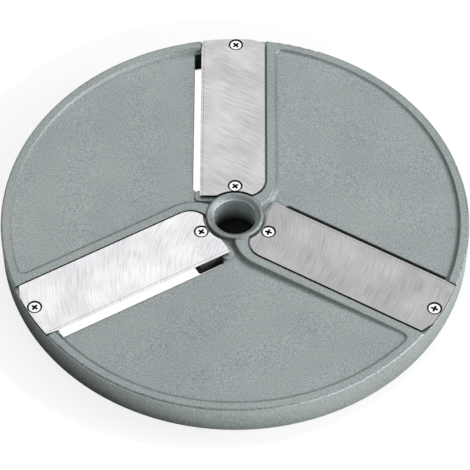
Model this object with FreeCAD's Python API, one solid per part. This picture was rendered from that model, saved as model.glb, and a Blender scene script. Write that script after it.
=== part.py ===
# Slicing disc of a vegetable cutting machine: one cast aluminium disc that carries
# three flat stainless blades, each held by two countersunk cross-recess screws.
#
# Frame, in millimetres: Z is the axis of the bore and points up, away from the rest
# face. Z = 0 is the bottom of the skirt, the ring that the disc stands on. The first
# blade points along +Y.
#
# Each blade has its own flat coordinates, which the outlines below use: u runs out
# from the axis along the blade, v runs across it, and the cutting edge is at +v. The
# disc turns with that edge leading, counter-clockwise as seen from above.

import FreeCAD, Part
import math
import os

V = FreeCAD.Vector

# The disc as a whole
blade_count = 3
first_blade_angle = 90.0
disc_radius = 102.5
rim_height = 15.5
rim_width = 3.9
rim_edge_rounding = 1.0
skirt_draft = 0.3
skirt_wall = 4.0
skirt_foot_chamfer = 0.5
web_thickness = 6.0
web_fillet = 2.0

# The hub and its bore, which drops over the machine's shaft
bore_radius = 9.5
bore_chamfer = 0.3
hub_radius = 12.75
hub_rise = 1.0
hub_bottom = 1.0
hub_edge_rounding = 0.9
hub_dish_width = 2.0
hub_dish_depth = 1.6
hub_foot_chamfer = 0.8
drive_slot_width = 8.4
drive_slot_depth = 5.5

# The blades, flush with the rim when they lie on their seats
blade_thickness = 1.5
blade_end_gap = 0.3
blade_cut_side = 15.6
blade_back_side = 13.1
blade_hub_overlap = 1.25
blade_hub_gap = 1.35
blade_lobe_radius = 8.5
blade_point_rounding = 0.8
blade_chamfer_width = 5.6
blade_chamfer_depth = 1.8
blade_relief_width = 0.6
blade_relief_length = 5.0

# The cutting edge: a wide grind from below and a narrow honed strip on top
grind_width = 3.6
grind_rise = 1.15
honed_width = 1.2
honed_drop = 0.25

# The screws, whose heads sit just below the blade's face
thread_radius = 1.5
screw_clearance = 0.1
head_radius = 2.75
head_edge_width = 0.3
head_edge_drop = 0.1
head_land = 0.1
head_sunk = 0.3
screw_length = 8.0
screw_tip_chamfer = 0.4
screw_tip_gap = 0.3
inner_screw_from_hub = 4.15
outer_screw_inset = 3.7
cross_reach = 1.6
cross_wing = 1.0
cross_depth = 1.3
cross_taper = 0.45
inner_cross_turns = (38.0, 27.0, 12.0)
outer_cross_turns = (40.0, 24.0, 8.0)
hole_mouth_gap = 0.2

# The seats that the blades lie in
seat_back_gap = 0.85
seat_cut_gap = 0.3
seat_end_gap = 2.0
seat_shoulder_gap = 2.2
seat_corner = 2.2

# The windows under the blades, where the slices drop through, and the pads at both
# ends of each window, which take the screws
slot_width = 3.0
slot_from_hub = 2.55
slot_outer_inset = 6.0
slot_corner = 2.3
window_back = 6.0
window_corner = 3.0
pad_thickness = 7.0
pad_corner = 1.0
inner_pad_setback = 1.1
inner_pad_reach = 13.25
outer_pad_side = 9.0
outer_pad_length = 12.5

# The ramped floors between the blades, and the ridges and rim that stand above them
floor_drop_at_slot = 2.5
floor_drop_at_ridge = 0.9
ridge_width = 3.75
ridge_bend_radius = 17.0
floor_fillet = 2.0
floor_corner = 3.2
pocket_depth = 3.4
pocket_draft = 0.7

# The stiffening ribs below the ridges
rib_width = 4.0
rib_depth = 5.0
rib_start = 5.0

# Levels, sides and centres that follow from the sizes above
sector_angle = 360.0 / blade_count
hub_top = rim_height + hub_rise
web_underside = rim_height - web_thickness
rib_bottom = web_underside - rib_depth
drive_slot_top = hub_bottom + drive_slot_depth
seat_level = rim_height - blade_thickness
pad_bottom = seat_level - pad_thickness
seat_back_side = blade_back_side + seat_back_gap
blade_inner_end = hub_radius - blade_hub_overlap
seat_inner_end = blade_inner_end - seat_end_gap
seat_shoulder = blade_cut_side + seat_shoulder_gap
slot_edge = blade_cut_side + slot_width
slot_inner_end = hub_radius + slot_from_hub
slot_outer_radius = disc_radius - slot_outer_inset
inner_pad_side = blade_cut_side - inner_pad_setback
inner_pad_end = hub_radius + inner_pad_reach
outer_pad_start = disc_radius - outer_pad_length
rim_wall_radius = disc_radius - rim_width
ridge_wall = seat_back_side + ridge_width
inner_screw_radius = hub_radius + inner_screw_from_hub
outer_screw_radius = disc_radius - outer_screw_inset
blade_end_radius = disc_radius - blade_end_gap
skirt_middle = disc_radius - skirt_draft - skirt_wall / 2
head_top = rim_height - head_sunk
head_cone_top = head_top - head_edge_drop - head_land
countersink_radius = head_radius + rim_height - head_cone_top
slot_floor_level = rim_height - floor_drop_at_slot
margin = 2.0


def turned(point, angle):
    """The point turned about the Z axis by an angle in degrees."""
    return FreeCAD.Rotation(V(0, 0, 1), angle).multVec(point)


def circle_reach(radius, side):
    """How far out a circle about the axis reaches at a distance from its centre line."""
    return math.sqrt(radius ** 2 - side ** 2)


def circles_meet(radius, centre, other_radius):
    """Where a circle about the axis meets a circle elsewhere, on its clockwise side."""
    apart = centre.Length
    along = (radius ** 2 - other_radius ** 2 + apart ** 2) / (2 * apart)
    aside = math.sqrt(radius ** 2 - along ** 2)
    direction = V(centre).normalize()
    return direction * along + V(direction.y, -direction.x, 0) * aside


def straight(start, end):
    return Part.LineSegment(start, end).toShape()


def arc_about(centre, start, end):
    """The shorter arc about a centre from one point to another."""
    halfway = (start + end) * 0.5 - centre
    middle = centre + halfway.normalize() * (start - centre).Length
    return Part.Arc(start, middle, end).toShape()


def rounded_outline(corners):
    """A closed wire through corners given as (x, y, rounding radius)."""
    points = [V(x, y, 0) for x, y, radius in corners]
    starts = []
    middles = []
    ends = []
    for index, point in enumerate(points):
        radius = corners[index][2]
        to_before = (points[index - 1] - point).normalize()
        to_after = (points[(index + 1) % len(points)] - point).normalize()
        half_angle = to_before.getAngle(to_after) / 2
        setback = radius / math.tan(half_angle)
        depth = radius / math.sin(half_angle) - radius
        starts.append(point + to_before * setback)
        middles.append(point + (to_before + to_after).normalize() * depth)
        ends.append(point + to_after * setback)
    edges = []
    for index in range(len(points)):
        if corners[index][2] > 0:
            edges.append(Part.Arc(starts[index], middles[index], ends[index]).toShape())
        edges.append(straight(ends[index], starts[(index + 1) % len(points)]))
    return Part.Wire(edges)


def prism(outline, bottom, top):
    """A flat outline drawn at Z = 0, made solid between two levels."""
    face = Part.Face(outline)
    face.translate(V(0, 0, bottom))
    return face.extrude(V(0, 0, top - bottom))


def block(u_range, v_range, z_range):
    """A box between pairs of u, v and z."""
    size = [high - low for low, high in (u_range, v_range, z_range)]
    return Part.makeBox(size[0], size[1], size[2], V(u_range[0], v_range[0], z_range[0]))


def at_blade(shape, index):
    """A copy of a shape drawn in blade coordinates, turned to where that blade is."""
    placed = shape.copy()
    placed.rotate(V(0, 0, 0), V(0, 0, 1), first_blade_angle + index * sector_angle)
    return placed


def around_disc(shape):
    """One copy of a shape for every blade."""
    return [at_blade(shape, index) for index in range(blade_count)]


def upright_edges_at(solid, points):
    """The solid's vertical edges that stand on the given points of its outline."""
    found = []
    for edge in solid.Edges:
        foot = edge.Vertexes[0].Point
        head = edge.Vertexes[-1].Point
        is_upright = V(foot.x - head.x, foot.y - head.y, 0).Length < 1e-6
        for point in points:
            if is_upright and V(foot.x - point.x, foot.y - point.y, 0).Length < 1e-4:
                found.append(edge)
    return found


# The casting


def turned_form():
    """Skirt, rim, web and hub, turned from one half section."""
    skirt_foot = disc_radius - skirt_draft
    skirt_inside = skirt_foot - skirt_wall
    half_section = rounded_outline([
        (bore_radius, hub_bottom + bore_chamfer, 0),
        (bore_radius + bore_chamfer, hub_bottom, 0),
        (hub_radius - hub_foot_chamfer, hub_bottom, 0),
        (hub_radius, hub_bottom + hub_foot_chamfer, 0),
        (hub_radius, web_underside, web_fillet),
        (skirt_inside, web_underside, web_fillet),
        (skirt_inside, skirt_foot_chamfer, 0),
        (skirt_inside + skirt_foot_chamfer, 0, 0),
        (skirt_foot - skirt_foot_chamfer, 0, 0),
        (skirt_foot, skirt_foot_chamfer, 0),
        (disc_radius, rim_height, rim_edge_rounding),
        (hub_radius, rim_height, 0),
        (hub_radius, hub_top, hub_edge_rounding),
        (bore_radius + hub_dish_width, hub_top, hub_edge_rounding),
        (bore_radius, hub_top - hub_dish_depth, 0),
    ])
    half_section.rotate(V(0, 0, 0), V(1, 0, 0), 90)
    return Part.Face(half_section).revolve(V(0, 0, 0), V(0, 0, 1), 360)


def screw_pads():
    """The two thick pads under one blade's ends."""
    levels = (pad_bottom, web_underside + margin)
    inner = block((bore_radius + margin, inner_pad_end), (-seat_back_side, inner_pad_side), levels)
    outer = block((outer_pad_start, skirt_middle), (-seat_back_side, outer_pad_side), levels)
    return [inner, outer]


def ridge_rib():
    """The rib under one ridge, from a neighbouring pad out to the skirt."""
    sides = (-seat_back_side - rib_width, -seat_back_side)
    return block((rib_start, skirt_middle), sides, (rib_bottom, web_underside + margin))


def seat_outline():
    """The seat of one blade, with a rounded tab beside the blade's inner corner."""
    inner = blade_inner_end - seat_back_gap
    cut_side = blade_cut_side + seat_cut_gap
    outer = disc_radius + margin
    return rounded_outline([
        (seat_inner_end, 0, 0),
        (seat_inner_end, seat_shoulder, seat_corner),
        (slot_inner_end, seat_shoulder, seat_corner),
        (slot_inner_end, cut_side, 0),
        (outer, cut_side, 0),
        (outer, -seat_back_side, 0),
        (inner, -seat_back_side, blade_lobe_radius + seat_back_gap),
        (inner, 0, 0),
    ])


def pocket_outline(level):
    """The outline of one pocket at a level: its walls lean out at ridge and rim.

    It runs from the blade round the hub, along the next blade's ridge and back along
    the rim.
    """
    widening = pocket_draft * (level - rim_height)
    wall_radius = rim_wall_radius + widening
    wall_side = ridge_wall - widening
    corner = floor_corner + widening
    bend_centre = V(blade_inner_end + blade_lobe_radius, ridge_bend_radius - ridge_wall, 0)
    corner_side = wall_side + corner
    corner_centre = V(circle_reach(wall_radius - corner, corner_side), -corner_side, 0)
    along_ridge = [
        circles_meet(hub_radius, bend_centre, ridge_bend_radius - widening),
        V(bend_centre.x, -wall_side, 0),
        V(corner_centre.x, -wall_side, 0),
        V(corner_centre).normalize() * wall_radius,
    ]
    hub_end, bend_start, corner_start, corner_end = [turned(point, sector_angle) for point in along_ridge]
    hub_start = V(hub_radius, 0, 0)
    rim_start = V(wall_radius, 0, 0)
    outline = Part.Wire([
        straight(rim_start, hub_start),
        arc_about(V(0, 0, 0), hub_start, hub_end),
        arc_about(turned(bend_centre, sector_angle), hub_end, bend_start),
        straight(bend_start, corner_start),
        arc_about(turned(corner_centre, sector_angle), corner_start, corner_end),
        arc_about(V(0, 0, 0), corner_end, rim_start),
    ])
    outline.translate(V(0, 0, level))
    return outline


def floor_pocket():
    """What is cut away above one ramped floor, from a blade to the next blade's ridge.

    The floor is one tilted plane. It is lowest along the slot, rises towards the
    ridge behind the next blade, and meets rim, ridge and hub in a fillet. The pads of
    the blade's seat are left standing in it.
    """
    above = hub_top + margin
    levels = (rim_height - pocket_depth, above)
    column = Part.makeLoft([pocket_outline(level) for level in levels], True, True)

    ridge_reach = circle_reach(rim_wall_radius, ridge_wall)
    highest_side = turned(V(ridge_reach, -ridge_wall, 0), sector_angle).y
    slope = (floor_drop_at_slot - floor_drop_at_ridge) / (highest_side - slot_edge)

    def floor_level(v):
        return slot_floor_level + slope * (v - slot_edge)

    far_side = 2 * disc_radius
    section = Part.makePolygon([
        V(-far_side, 0, floor_level(0)),
        V(-far_side, far_side, floor_level(far_side)),
        V(-far_side, far_side, above + far_side),
        V(-far_side, 0, above + far_side),
        V(-far_side, 0, floor_level(0)),
    ])
    above_floor = Part.Face(section).extrude(V(2 * far_side, 0, 0))
    pocket = column.common(above_floor)

    foot_edges = []
    for edge in pocket.Edges:
        ends = [vertex.Point for vertex in edge.Vertexes]
        on_floor = all(abs(end.z - floor_level(end.y)) < 1e-4 for end in ends)
        along_blade = all(abs(end.y) < 1e-4 for end in ends)
        if on_floor and not along_blade:
            foot_edges.append(edge)
    pocket = pocket.makeFillet(floor_fillet, foot_edges)
    return pocket.cut(prism(seat_outline(), web_underside, above))


def blade_seat():
    """What is cut away for one blade: a flat seat that runs out through the rim."""
    above = hub_top + margin
    hub = Part.makeCylinder(hub_radius, above)
    return prism(seat_outline(), seat_level, above).cut(hub)


def blade_window():
    """The opening through the casting under one blade, with the slot beside the blade."""
    outline = rounded_outline([
        (slot_inner_end, slot_edge, slot_corner),
        (slot_inner_end, inner_pad_side, 0),
        (inner_pad_end, inner_pad_side, pad_corner),
        (inner_pad_end, -window_back, window_corner),
        (outer_pad_start, -window_back, window_corner),
        (outer_pad_start, outer_pad_side, pad_corner),
        (circle_reach(slot_outer_radius, outer_pad_side), outer_pad_side, 0),
        (circle_reach(slot_outer_radius, slot_edge), slot_edge, 0),
    ])
    return prism(outline, 0, hub_top + margin)


def screw_hole(radius_from_axis):
    """A tapped hole through a pad, with a mouth that clears the screw's cone."""
    bottom = head_top - screw_length - screw_tip_gap
    hole = Part.makeCylinder(thread_radius, hub_top - bottom, V(radius_from_axis, 0, bottom))
    cone_at_seat = countersink_radius - blade_thickness
    mouth_radius = max(cone_at_seat, thread_radius) + hole_mouth_gap
    mouth_depth = mouth_radius - thread_radius
    mouth_foot = V(radius_from_axis, 0, seat_level - mouth_depth)
    return hole.fuse(Part.makeCone(thread_radius, mouth_radius, mouth_depth, mouth_foot))


def drive_slot():
    """The slot across the hub's underside, which takes the shaft's drive pin."""
    reach = hub_radius + margin / 2
    half = drive_slot_width / 2
    return block((-reach, reach), (-half, half), (0, drive_slot_top))


def make_casting():
    added = []
    for feature in screw_pads() + [ridge_rib()]:
        added += around_disc(feature)
    casting = turned_form().multiFuse(added)
    bore = Part.makeCylinder(bore_radius, hub_top)
    removed = [bore, drive_slot()]
    holes = [screw_hole(inner_screw_radius), screw_hole(outer_screw_radius)]
    for feature in [floor_pocket(), blade_seat(), blade_window()] + holes:
        removed += around_disc(feature)
    for tool in removed:
        casting = casting.cut(tool)
    return casting.removeSplitter()


# The blades


def blade_outline():
    """The blade seen from above, round the hub at one end and the rim at the other."""
    hub_arc = hub_radius + blade_hub_gap
    lobe_centre = V(blade_inner_end + blade_lobe_radius, blade_lobe_radius - blade_back_side, 0)
    cut_point = V(blade_inner_end, circle_reach(hub_arc, blade_inner_end), 0)
    back_point = circles_meet(hub_arc, lobe_centre, blade_lobe_radius)
    corner_reach = circle_reach(blade_end_radius, blade_back_side)
    chamfer_side = blade_back_side - blade_chamfer_width
    relief_side = blade_cut_side - blade_relief_width
    cut_corner = V(blade_inner_end, blade_cut_side, 0)
    lobe_end = V(lobe_centre.x, -blade_back_side, 0)
    chamfer_start = V(corner_reach - blade_chamfer_depth, -blade_back_side, 0)
    chamfer_end = V(circle_reach(blade_end_radius, chamfer_side), -chamfer_side, 0)
    relief_end = V(circle_reach(blade_end_radius, relief_side), relief_side, 0)
    relief_start = V(relief_end.x - blade_relief_length, blade_cut_side, 0)
    outline = Part.Wire([
        straight(cut_corner, cut_point),
        arc_about(V(0, 0, 0), cut_point, back_point),
        arc_about(lobe_centre, back_point, lobe_end),
        straight(lobe_end, chamfer_start),
        straight(chamfer_start, chamfer_end),
        arc_about(V(0, 0, 0), chamfer_end, relief_end),
        straight(relief_end, relief_start),
        straight(relief_start, cut_corner),
    ])
    return outline, [cut_point, back_point]


def edge_cutter(corners):
    """A prism along the cutting edge, from its section in v and z."""
    points = [V(0, v, z) for v, z in corners]
    section = Part.makePolygon(points + points[:1])
    return Part.Face(section).extrude(V(2 * disc_radius, 0, 0))


def blade_screw_hole(radius_from_axis):
    """A countersunk hole for one screw."""
    hole_radius = thread_radius + screw_clearance
    depth = countersink_radius - hole_radius
    foot = V(radius_from_axis, 0, rim_height - depth)
    cone = Part.makeCone(hole_radius, countersink_radius + margin, depth + margin, foot)
    return cone.fuse(Part.makeCylinder(hole_radius, hub_top, V(radius_from_axis, 0, 0)))


def make_blade():
    outline, points = blade_outline()
    blade = prism(outline, seat_level, rim_height)
    blade = blade.makeFillet(blade_point_rounding, upright_edges_at(blade, points))
    beyond = blade_cut_side + margin
    grind_slope = grind_rise / grind_width
    grind = edge_cutter([
        (blade_cut_side - grind_width, seat_level),
        (beyond, seat_level + grind_rise + grind_slope * margin),
        (beyond, seat_level - margin),
        (blade_cut_side - grind_width, seat_level - margin),
    ])
    honed_slope = honed_drop / honed_width
    honed = edge_cutter([
        (blade_cut_side - honed_width, rim_height),
        (beyond, rim_height - honed_drop - honed_slope * margin),
        (beyond, rim_height + margin),
        (blade_cut_side - honed_width, rim_height + margin),
    ])
    blade = blade.cut(grind).cut(honed)
    for radius_from_axis in (inner_screw_radius, outer_screw_radius):
        blade = blade.cut(blade_screw_hole(radius_from_axis))
    return blade


# The screws


def cross_recess(turn):
    """The cross in a screw's head, narrower at its foot."""
    levels = ((head_top, 1.0), (head_top - cross_depth, cross_taper))
    wires = []
    for level, scale in levels:
        reach = cross_reach * scale
        half = cross_wing * scale / 2
        quarter = [V(reach, -half, level), V(reach, half, level), V(half, half, level)]
        points = []
        for arm in range(4):
            points += [turned(point, turn + 90 * arm) for point in quarter]
        wires.append(Part.makePolygon(points + points[:1]))
    return Part.makeLoft(wires, True, True)


def make_screw(cross_turn):
    """A countersunk screw about the Z axis, with its thread left plain."""
    tip = head_top - screw_length
    cone_foot = head_cone_top - (head_radius - thread_radius)
    half_section = Part.makePolygon([
        V(0, 0, head_top),
        V(head_radius - head_edge_width, 0, head_top),
        V(head_radius, 0, head_top - head_edge_drop),
        V(head_radius, 0, head_cone_top),
        V(thread_radius, 0, cone_foot),
        V(thread_radius, 0, tip + screw_tip_chamfer),
        V(thread_radius - screw_tip_chamfer, 0, tip),
        V(0, 0, tip),
        V(0, 0, head_top),
    ])
    screw = Part.Face(half_section).revolve(V(0, 0, 0), V(0, 0, 1), 360)
    return screw.cut(cross_recess(cross_turn))


# All pieces, each under the name of its node
pieces = {"disc_casting": make_casting()}
blade = make_blade()
screw_sets = (
    ("screw_inner", inner_screw_radius, inner_cross_turns),
    ("screw_outer", outer_screw_radius, outer_cross_turns),
)
for index in range(blade_count):
    number = str(index + 1)
    pieces["blade_" + number] = at_blade(blade, index)
    for name, radius_from_axis, turns in screw_sets:
        screw = make_screw(turns[index % len(turns)])
        screw.translate(V(radius_from_axis, 0, 0))
        pieces[name + "_" + number] = at_blade(screw, index)

os.makedirs("parts", exist_ok=True)
for name, shape in pieces.items():
    solid = shape.Solids[0]
    print(name, "solids", len(shape.Solids), "valid", solid.isValid(), "volume", round(solid.Volume, 1))
    solid.exportStep(os.path.join("parts", name + ".step"))
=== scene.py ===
import math

import bpy
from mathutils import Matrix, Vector

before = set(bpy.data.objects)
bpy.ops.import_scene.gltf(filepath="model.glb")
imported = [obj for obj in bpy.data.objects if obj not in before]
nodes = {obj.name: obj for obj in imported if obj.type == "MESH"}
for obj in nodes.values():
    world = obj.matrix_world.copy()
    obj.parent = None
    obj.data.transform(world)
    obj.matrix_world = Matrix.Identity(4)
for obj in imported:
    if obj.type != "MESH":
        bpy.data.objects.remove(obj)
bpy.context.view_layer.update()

# The camera
# The photograph looks down on the disc from in front with a long lens, and the disc
# fills its width. A turn of a quarter degree sets the blades as they lie there.
camera_reach = 0.839
camera_height = 1.104
camera_pitch = math.radians(52.72)
camera_turn = math.radians(0.23)
lens_length = 240.7
film_width = 36.0

lens = bpy.data.cameras.new("camera")
lens.sensor_width = film_width
lens.lens = lens_length
camera = bpy.data.objects.new("camera", lens)
camera.location = (
    camera_reach * math.sin(camera_turn),
    -camera_reach * math.cos(camera_turn),
    camera_height,
)
camera.rotation_euler = (math.pi / 2 - camera_pitch, 0, camera_turn)
bpy.context.scene.collection.objects.link(camera)
bpy.context.scene.camera = camera

# The casting
# One aluminium casting with skirt, rim, hub, ridges and ramped floors. It is bead
# blasted all over, which leaves a fine even grain, and its skirt and bore are turned.
casting_light = (0.54, 0.59, 0.585, 1)
casting_dark = (0.265, 0.31, 0.31, 1)
turned_bore = (0.93, 1.0, 1.0, 1)
# Painted shade for narrow gaps and the depth of the bore, used on the blades too
painted_shade_colour = (0.02, 0.025, 0.025, 1)

# Blasted grain, slow clouds, and the turning marks round the skirt
grain_size = 0.0006
grain_height = 0.00006
grain_share = 0.85
grain_detail = 2.0
grain_breakup = 0.6
cloud_share = 0.15
cloud_scale = 28.0
cloud_detail = 3.0
cloud_breakup = 0.55
noise_span = (0.3, 0.7)
turning_pitch = 0.00035
turning_detail = 1.0
turning_share = 0.6
casting_relief = 0.6
casting_roughness = 0.52
grain_roughness = 0.10
turned_polish = 0.10

# Where skirt, hub and bore begin, how wide the change of look is there, and the
# heights between which the painted shade in the bore fades out going up
skirt_inner_edge = 0.1016
skirt_fade = 0.0003
hub_reach = 0.0135
hub_fade = 0.0005
bore_wall = 0.0096
bore_fade = 0.0002
bore_shade_heights = (-0.002, 0.0095)

# Rounded edges in the shading normal, and painted shade in narrow gaps
edge_softness = 0.0009
hub_softness = 0.0014
softness_samples = 8
crevice_reach = 0.0015
crevice_openness = (0.1, 0.5)
crevice_samples = 8


def feed(tree, socket, value):
    """Links an input to another socket, or sets it to a plain value."""
    if isinstance(value, bpy.types.NodeSocket):
        tree.links.new(value, socket)
    else:
        socket.default_value = value


def add_node(tree, kind, settings=None, **inputs):
    """A shader node. Its inputs are given by name, with _ for a space, or as i0, i1."""
    made = tree.nodes.new(kind)
    for name, value in (settings or {}).items():
        setattr(made, name, value)
    for name, value in inputs.items():
        key = int(name[1:]) if name[1:].isdigit() else name.replace("_", " ")
        feed(tree, made.inputs[key], value)
    return made


def calculate(tree, operation, first, second=0.0):
    """One sum on two values, each a socket or a number."""
    made = add_node(tree, "ShaderNodeMath", {"operation": operation}, i0=first, i1=second)
    return made.outputs["Value"]


def calculate_vector(tree, operation, first, second=(0, 0, 0)):
    """One sum on two vectors. A distance or a length is a value, all else a vector."""
    made = add_node(
        tree, "ShaderNodeVectorMath", {"operation": operation}, i0=first, i1=second,
    )
    return made.outputs["Value" if operation in ("DISTANCE", "LENGTH") else "Vector"]


def weighted_sum(tree, first, first_share, second, second_share):
    """The first value times its share plus the second value times its share."""
    return calculate(
        tree, "ADD",
        calculate(tree, "MULTIPLY", first, first_share),
        calculate(tree, "MULTIPLY", second, second_share),
    )


def ramp(tree, value, low, high, start=0.0, end=1.0):
    """The value carried smoothly from start to end while it goes from low to high."""
    made = add_node(
        tree, "ShaderNodeMapRange", {"interpolation_type": "SMOOTHSTEP"},
        Value=value, From_Min=low, From_Max=high, To_Min=start, To_Max=end,
    )
    return made.outputs["Result"]


def blend_colours(tree, share, first, second):
    """The first colour, carried towards the second by a share.

    A Mix node has its colours on inputs 6 and 7 and on output 2.
    """
    made = add_node(
        tree, "ShaderNodeMix", {"data_type": "RGBA"}, i0=share, i6=first, i7=second,
    )
    return made.outputs[2]


def new_group(name, inputs, outputs):
    """A shader node group with its sockets, given as (name, type) pairs."""
    tree = bpy.data.node_groups.new(name, "ShaderNodeTree")
    for in_out, sockets in (("INPUT", inputs), ("OUTPUT", outputs)):
        for socket_name, socket_type in sockets:
            tree.interface.new_socket(socket_name, in_out=in_out, socket_type=socket_type)
    start = tree.nodes.new("NodeGroupInput")
    end = tree.nodes.new("NodeGroupOutput")
    return tree, start, end


def use_group(tree, group, **inputs):
    """A node group placed in a material with its own values."""
    return add_node(tree, "ShaderNodeGroup", {"node_tree": group}, **inputs)


def make_grain_group():
    """Fine blasted grain and slow clouds, both between 0 and 1."""
    tree, start, end = new_group(
        "blasted_grain",
        [("Place", "NodeSocketVector"), ("Grain Size", "NodeSocketFloat")],
        [("Grain", "NodeSocketFloat"), ("Clouds", "NodeSocketFloat")],
    )
    scale = calculate(tree, "DIVIDE", 1.0, start.outputs["Grain Size"])
    fine = add_node(
        tree, "ShaderNodeTexNoise", Vector=start.outputs["Place"],
        Scale=scale, Detail=grain_detail, Roughness=grain_breakup,
    )
    slow = add_node(
        tree, "ShaderNodeTexNoise", Vector=start.outputs["Place"],
        Scale=cloud_scale, Detail=cloud_detail, Roughness=cloud_breakup,
    )
    tree.links.new(ramp(tree, fine.outputs["Fac"], *noise_span), end.inputs["Grain"])
    tree.links.new(ramp(tree, slow.outputs["Fac"], *noise_span), end.inputs["Clouds"])
    return tree


def new_material(name):
    """An empty material with its output, and the Principled shader that feeds it."""
    material = bpy.data.materials.new(name)
    material.use_nodes = True
    tree = material.node_tree
    tree.nodes.clear()
    shader = tree.nodes.new("ShaderNodeBsdfPrincipled")
    output = tree.nodes.new("ShaderNodeOutputMaterial")
    tree.links.new(shader.outputs["BSDF"], output.inputs["Surface"])
    return material, tree, shader


def dress(node_name, material):
    """Gives a CAD piece its finished material."""
    slots = nodes[node_name].data.materials
    slots.clear()
    slots.append(material)


grain_group = make_grain_group()


def make_casting_material():
    """Blasted aluminium, with turning marks on the skirt and a turned bore."""
    material, tree, shader = new_material("blasted_aluminium")
    place = tree.nodes.new("ShaderNodeTexCoord").outputs["Object"]
    height = add_node(tree, "ShaderNodeSeparateXYZ", Vector=place).outputs["Z"]
    level = calculate_vector(tree, "MULTIPLY", place, (1, 1, 0))
    radius = calculate_vector(tree, "LENGTH", level)
    on_skirt = ramp(tree, radius, skirt_inner_edge, skirt_inner_edge + skirt_fade)
    in_bore = ramp(tree, radius, bore_wall, bore_wall + bore_fade, 1.0, 0.0)

    # Turning marks run round the skirt, so they vary with height alone
    turns = calculate(tree, "DIVIDE", height, turning_pitch)
    marks = add_node(
        tree, "ShaderNodeTexNoise", {"noise_dimensions": "1D"},
        W=turns, Scale=1.0, Detail=turning_detail,
    )
    turning = calculate(tree, "MULTIPLY", marks.outputs["Fac"], on_skirt)

    grains = use_group(tree, grain_group, Place=place, Grain_Size=grain_size)
    grain = grains.outputs["Grain"]
    shade = weighted_sum(tree, grain, grain_share, grains.outputs["Clouds"], cloud_share)
    colour = blend_colours(tree, shade, casting_dark, casting_light)

    # The bore is turned lighter metal, and painted shade darkens its depth and all narrow gaps
    colour = blend_colours(tree, in_bore, colour, turned_bore)
    openness = add_node(
        tree, "ShaderNodeAmbientOcclusion", {"samples": crevice_samples},
        Distance=crevice_reach,
    ).outputs["AO"]
    narrow = ramp(tree, openness, *crevice_openness, 1.0, 0.0)
    deep = ramp(tree, height, *bore_shade_heights, 1.0, 0.0)
    dark = calculate(tree, "MAXIMUM", narrow, calculate(tree, "MULTIPLY", in_bore, deep))
    colour = blend_colours(tree, dark, colour, painted_shade_colour)
    tree.links.new(colour, shader.inputs["Base Color"])

    rough = calculate(tree, "MULTIPLY", grain, grain_roughness)
    rough = calculate(tree, "ADD", casting_roughness, rough)
    polish = calculate(tree, "MULTIPLY", on_skirt, turned_polish)
    rough = calculate(tree, "SUBTRACT", rough, polish)
    tree.links.new(rough, shader.inputs["Roughness"])

    # The hub's ring rolls over more softly than the other edges
    softness = ramp(tree, radius, hub_reach, hub_reach + hub_fade, hub_softness, edge_softness)
    soft = add_node(tree, "ShaderNodeBevel", {"samples": softness_samples}, Radius=softness)
    relief = calculate(tree, "ADD", grain, calculate(tree, "MULTIPLY", turning, turning_share))
    bump = add_node(
        tree, "ShaderNodeBump", Strength=casting_relief, Distance=grain_height,
        Height=relief, Normal=soft.outputs["Normal"],
    )
    tree.links.new(bump.outputs["Normal"], shader.inputs["Normal"])
    shader.inputs["Metallic"].default_value = 1.0
    return material


dress("disc_casting", make_casting_material())

# The blades
# Three flat blades of stainless steel, ground on a cup wheel, which leaves fine arcs
# across each. Each lies flush in its seat and is held by two screws.
blade_count = 3
first_blade_angle = 90.0
steel_light = (0.88, 0.875, 0.895)
steel_dark = (0.48, 0.475, 0.495)
steel_roughness = 0.30

# The wheel's centre and the tone of blades 1, 2 and 3, which differ in the photograph
wheel_centres = ((-0.158, 0.125), (-0.005, 0.036), (-0.01, -0.012))
# Each tone is painted light: the blades are one steel, made brighter or darker by how each
# reflects the lamps
painted_light_tones = (0.72, 1.0, 0.57)

# The arcs that the wheel leaves, and slow clouds over them
streak_spacing = 0.00042
streak_length = 0.012
streak_height = 0.000006
streak_relief = 0.5
streak_roughness = 0.08
streak_share = 0.7
streak_detail = 3.0
streak_breakup = 0.65
streak_span = (0.28, 0.72)
steel_cloud_share = 0.3
steel_cloud_scale = 70.0
steel_cloud_detail = 2.0
steel_cloud_breakup = 0.5

# The blade's own form: its face, the wide grind below and the narrow hone above
blade_top = 0.0155
blade_thickness = 0.0015
grind_side = 0.0120
grind_slope = 0.319
honed_side = 0.0144
honed_side_fade = 0.0001
honed_slope = 0.208
honed_foot = 0.01518
honed_foot_fade = 0.00003
hone_lift = 3.0
hone_line_width = (0.00008, 0.00016)
hone_line_strength = 0.5
shear_margin = (0.00003, 0.00008)
screw_radii = (0.0169, 0.0988)
countersink_radius = 0.00325
countersink_fade = 0.0001


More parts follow.
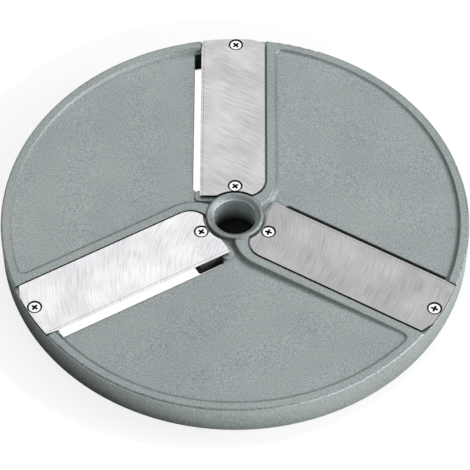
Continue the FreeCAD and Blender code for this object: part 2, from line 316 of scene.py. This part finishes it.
def make_streak_group():
    """Arcs about a wheel's centre: noise that runs fast outwards and slowly round."""
    tree, start, end = new_group(
        "ground_arcs",
        [
            ("Place", "NodeSocketVector"), ("Wheel", "NodeSocketVector"),
            ("Spacing", "NodeSocketFloat"), ("Length", "NodeSocketFloat"),
        ],
        [("Streaks", "NodeSocketFloat"), ("Clouds", "NodeSocketFloat")],
    )
    place = start.outputs["Place"]
    from_wheel = calculate_vector(tree, "SUBTRACT", place, start.outputs["Wheel"])
    parts = add_node(tree, "ShaderNodeSeparateXYZ", Vector=from_wheel)
    flat = add_node(
        tree, "ShaderNodeCombineXYZ", X=parts.outputs["X"], Y=parts.outputs["Y"],
    )
    radius = calculate_vector(tree, "LENGTH", flat.outputs["Vector"])
    angle = calculate(tree, "ARCTAN2", parts.outputs["Y"], parts.outputs["X"])
    arc = calculate(tree, "MULTIPLY", angle, radius)
    along = calculate(tree, "DIVIDE", arc, start.outputs["Length"])
    across = calculate(tree, "DIVIDE", radius, start.outputs["Spacing"])
    stretched = add_node(tree, "ShaderNodeCombineXYZ", X=across, Y=along)
    streaks = add_node(
        tree, "ShaderNodeTexNoise", Vector=stretched.outputs["Vector"],
        Scale=1.0, Detail=streak_detail, Roughness=streak_breakup,
    )
    clouds = add_node(
        tree, "ShaderNodeTexNoise", Vector=place,
        Scale=steel_cloud_scale, Detail=steel_cloud_detail, Roughness=steel_cloud_breakup,
    )
    tree.links.new(ramp(tree, streaks.outputs["Fac"], *streak_span), end.inputs["Streaks"])
    tree.links.new(ramp(tree, clouds.outputs["Fac"], *noise_span), end.inputs["Clouds"])
    return tree


streak_group = make_streak_group()


def fall_past(tree, value, edge, slope):
    """How far a face has sloped away past an edge: nothing before it."""
    past = calculate(tree, "SUBTRACT", value, edge)
    past = calculate(tree, "MAXIMUM", past, 0.0)
    return calculate(tree, "MULTIPLY", past, slope)


def sheared_sides(tree, side, height):
    """1 on the upright sides of a blade, between its underside and its face, where painted
    shade goes.
    """
    drop = fall_past(tree, side, honed_side, honed_slope)
    face = calculate(tree, "SUBTRACT", blade_top, drop)
    below_face = calculate(tree, "SUBTRACT", face, height)
    rise = fall_past(tree, side, grind_side, grind_slope)
    underside = calculate(tree, "ADD", blade_top - blade_thickness, rise)
    above_underside = calculate(tree, "SUBTRACT", height, underside)
    return calculate(
        tree, "MULTIPLY",
        ramp(tree, below_face, *shear_margin), ramp(tree, above_underside, *shear_margin),
    )


def countersinks(tree, flat_place):
    """1 round the middle of each screw, where the blade is countersunk and painted shade goes.
    """
    found = 0.0
    outside = countersink_radius + countersink_fade
    for screw_radius in screw_radii:
        apart = calculate_vector(tree, "DISTANCE", flat_place, (screw_radius, 0, 0))
        inside = ramp(tree, apart, countersink_radius, outside, 1.0, 0.0)
        found = calculate(tree, "MAXIMUM", found, inside)
    return found


def make_blade_material(number, wheel_centre, painted_light_tone):
    """Ground steel in the blade's own directions: x outwards, y towards its edge."""
    material, tree, shader = new_material("ground_steel_" + str(number))
    place = tree.nodes.new("ShaderNodeTexCoord").outputs["Object"]
    turn = math.radians(first_blade_angle + (number - 1) * 360.0 / blade_count)
    on_blade = add_node(
        tree, "ShaderNodeMapping", {"vector_type": "TEXTURE"},
        Vector=place, Rotation=(0, 0, turn),
    ).outputs["Vector"]
    parts = add_node(tree, "ShaderNodeSeparateXYZ", Vector=on_blade)
    side = parts.outputs["Y"]
    height = parts.outputs["Z"]
    flat_place = add_node(
        tree, "ShaderNodeCombineXYZ", X=parts.outputs["X"], Y=side,
    ).outputs["Vector"]

    arcs = use_group(
        tree, streak_group, Place=on_blade, Wheel=(*wheel_centre, 0),
        Spacing=streak_spacing, Length=streak_length,
    )
    streaks = arcs.outputs["Streaks"]
    shade = weighted_sum(
        tree, streaks, streak_share, arcs.outputs["Clouds"], steel_cloud_share,
    )
    # The steel's colours are scaled by the blade's painted light tone
    dark = (*(painted_light_tone * part for part in steel_dark), 1)
    light = (*(painted_light_tone * part for part in steel_light), 1)
    colour = blend_colours(tree, shade, dark, light)

    # The countersinks, the sheared sides and the line where the hone starts get painted shade
    from_line = calculate(tree, "SUBTRACT", side, honed_side)
    from_line = calculate(tree, "ABSOLUTE", from_line)
    hone_line = ramp(tree, from_line, *hone_line_width, hone_line_strength, 0.0)
    unlit = calculate(
        tree, "MAXIMUM", countersinks(tree, flat_place), sheared_sides(tree, side, height),
    )
    unlit = calculate(tree, "MAXIMUM", unlit, hone_line)
    colour = blend_colours(tree, unlit, colour, painted_shade_colour)
    tree.links.new(colour, shader.inputs["Base Color"])

    rough = calculate(tree, "MULTIPLY", streaks, streak_roughness)
    rough = calculate(tree, "ADD", steel_roughness, rough)
    tree.links.new(rough, shader.inputs["Roughness"])

    # The honed strip slopes by 12 degrees, but in the photograph it is as bright as the
    # face, so its normal is lifted until it is nearly upright
    honed = calculate(
        tree, "MULTIPLY",
        ramp(tree, side, honed_side - honed_side_fade, honed_side + honed_side_fade),
        ramp(tree, height, honed_foot, honed_foot + honed_foot_fade),
    )
    lift = calculate(tree, "MULTIPLY", honed, hone_lift)
    upward = add_node(tree, "ShaderNodeCombineXYZ", Z=lift).outputs["Vector"]
    true_normal = tree.nodes.new("ShaderNodeNewGeometry").outputs["Normal"]
    lifted = calculate_vector(tree, "ADD", true_normal, upward)
    lifted = calculate_vector(tree, "NORMALIZE", lifted)
    bump = add_node(
        tree, "ShaderNodeBump", Strength=streak_relief, Distance=streak_height,
        Height=streaks, Normal=lifted,
    )
    tree.links.new(bump.outputs["Normal"], shader.inputs["Normal"])
    shader.inputs["Metallic"].default_value = 1.0
    return material


for index in range(blade_count):
    number = index + 1
    material = make_blade_material(number, wheel_centres[index], painted_light_tones[index])
    dress("blade_" + str(number), material)

# The screws
# Six countersunk cross-recess screws of plated steel. Their heads are bright on top,
# and the recess and the rim of the head are painted dark as shade.
head_light = (0.9, 0.9, 0.92, 1)
head_dark = (0.74, 0.74, 0.76, 1)
# Painted shade in the recess and round the rim of the head
painted_recess_shade = (0.03, 0.035, 0.035, 1)
head_roughness = 0.28
head_grain_size = 0.0003
head_grain_roughness = 0.1
head_top = 0.0152
head_top_margin = (0.00004, 0.00001)


def make_screw_material():
    """Plated steel, bright on the top of the head, with painted shade below it."""
    material, tree, shader = new_material("plated_screw")
    place = tree.nodes.new("ShaderNodeTexCoord").outputs["Object"]
    height = add_node(tree, "ShaderNodeSeparateXYZ", Vector=place).outputs["Z"]
    grains = use_group(tree, grain_group, Place=place, Grain_Size=head_grain_size)
    grain = grains.outputs["Grain"]
    low, high = [head_top - margin for margin in head_top_margin]
    on_top = ramp(tree, height, low, high)
    bright = blend_colours(tree, grain, head_dark, head_light)
    colour = blend_colours(tree, on_top, painted_recess_shade, bright)
    tree.links.new(colour, shader.inputs["Base Color"])
    rough = calculate(tree, "MULTIPLY", grain, head_grain_roughness)
    rough = calculate(tree, "ADD", head_roughness, rough)
    tree.links.new(rough, shader.inputs["Roughness"])
    shader.inputs["Metallic"].default_value = 1.0
    return material


screw_material = make_screw_material()
for number in range(1, blade_count + 1):
    for blade_end in ("inner", "outer"):
        dress("screw_" + blade_end + "_" + str(number), screw_material)

# The table
# A plain level table under the disc. It is mid grey, so that little light comes up from
# it, but white to the lens and pale in reflections. The disc's faint shadow on it is partly
# cast and partly painted into that glow.
table_half = 3.0
table_colour = (0.25, 0.25, 0.25, 1)
# Painted shadow for the table under the bore
painted_shadow_under_bore = (0.02, 0.02, 0.02, 1)
white = (1, 1, 1, 1)
under_hub = 0.0125
under_web = (0.0140, 0.0975)
under_fade = 0.001
shadow_middle = (-0.012, 0.008, 0)
shadow_span = (0.104, 0.125)
lift_in_shadow = 0.8
lift_in_the_open = 1.0
lift_in_reflections = 0.85


def make_table_material():
    """A grey table that glows towards the lens and in reflections, less inside a painted
    shadow.
    """
    material, tree, shader = new_material("pale_table")
    shader.inputs["Roughness"].default_value = 1.0
    shader.inputs["Specular IOR Level"].default_value = 0.0
    place = tree.nodes.new("ShaderNodeTexCoord").outputs["Object"]
    radius = calculate_vector(tree, "DISTANCE", place, (0, 0, 0))

    # Painted shadow makes the table dark under the bore, and the openings look down on white
    in_bore = ramp(tree, radius, under_hub, under_hub + under_fade, 1.0, 0.0)
    colour = blend_colours(tree, in_bore, table_colour, painted_shadow_under_bore)
    tree.links.new(colour, shader.inputs["Base Color"])
    hub_side, rim_side = under_web
    in_openings = calculate(
        tree, "MULTIPLY",
        ramp(tree, radius, hub_side, hub_side + under_fade),
        ramp(tree, radius, rim_side, rim_side + under_fade, 1.0, 0.0),
    )

    # The glow is full in the open, weaker in the painted shadow and nothing in the bore
    from_shadow = calculate_vector(tree, "DISTANCE", place, shadow_middle)
    in_the_open = ramp(tree, from_shadow, *shadow_span, 0.0, lift_in_the_open)
    to_lens = calculate(tree, "MAXIMUM", in_the_open, lift_in_shadow)
    to_lens = calculate(tree, "MAXIMUM", to_lens, in_openings)
    out_of_bore = calculate(tree, "SUBTRACT", 1.0, in_bore)
    to_lens = calculate(tree, "MULTIPLY", to_lens, out_of_bore)
    in_reflections = calculate(tree, "MULTIPLY", in_the_open, lift_in_reflections)
    rays = tree.nodes.new("ShaderNodeLightPath").outputs
    mirrored = calculate(
        tree, "MAXIMUM", rays["Is Glossy Ray"], rays["Is Transmission Ray"],
    )
    glow = calculate(
        tree, "MAXIMUM",
        calculate(tree, "MULTIPLY", rays["Is Camera Ray"], to_lens),
        calculate(tree, "MULTIPLY", mirrored, in_reflections),
    )
    tree.links.new(glow, shader.inputs["Emission Strength"])
    shader.inputs["Emission Color"].default_value = white
    return material


corners = [
    (-table_half, -table_half, 0), (table_half, -table_half, 0),
    (table_half, table_half, 0), (-table_half, table_half, 0),
]
table_mesh = bpy.data.meshes.new("table")
table_mesh.from_pydata(corners, [], [(0, 1, 2, 3)])
table_mesh.materials.append(make_table_material())
floor = bpy.data.objects.new("table", table_mesh)
bpy.context.scene.collection.objects.link(floor)

# The lights and the room
# A wide softbox hangs behind and above, where the level faces mirror it, and two weaker
# ones stand on the right and low in front. The room has a bright ceiling and dim walls.
softboxes = (
    ("softbox_back", (0.0, 1.15, 1.5), 1.8, 10.7),
    ("softbox_right", (1.1, 0.0, 0.6), 0.6, 7.2),
    ("softbox_front", (0.92, -1.0, 0.35), 0.5, 5.0),
)
wall_light = 0.06
ceiling_light = 0.36
wall_top = 0.1
ceiling_start = 0.65


def add_softbox(name, place, size, power):
    """A square area light that faces the disc."""
    light = bpy.data.lights.new(name, "AREA")
    light.shape = "SQUARE"
    light.size = size
    light.energy = power
    softbox = bpy.data.objects.new(name, light)
    softbox.location = place
    softbox.rotation_euler = Vector(place).to_track_quat("Z", "Y").to_euler()
    bpy.context.scene.collection.objects.link(softbox)


for name, place, size, power in softboxes:
    add_softbox(name, place, size, power)

# Where the lens sees the room itself, it is white
room = bpy.data.worlds.new("room")
room.use_nodes = True
room_tree = room.node_tree
direction = room_tree.nodes.new("ShaderNodeTexCoord").outputs["Generated"]
steepness = add_node(room_tree, "ShaderNodeSeparateXYZ", Vector=direction).outputs["Z"]
room_light = ramp(room_tree, steepness, wall_top, ceiling_start, wall_light, ceiling_light)
seen_directly = room_tree.nodes.new("ShaderNodeLightPath").outputs["Is Camera Ray"]
room_strength = calculate(room_tree, "MAXIMUM", seen_directly, room_light)
background = room_tree.nodes["Background"]
background.inputs["Color"].default_value = white
room_tree.links.new(room_strength, background.inputs["Strength"])
bpy.context.scene.world = room

view_settings = bpy.context.scene.view_settings
view_settings.view_transform = "Standard"
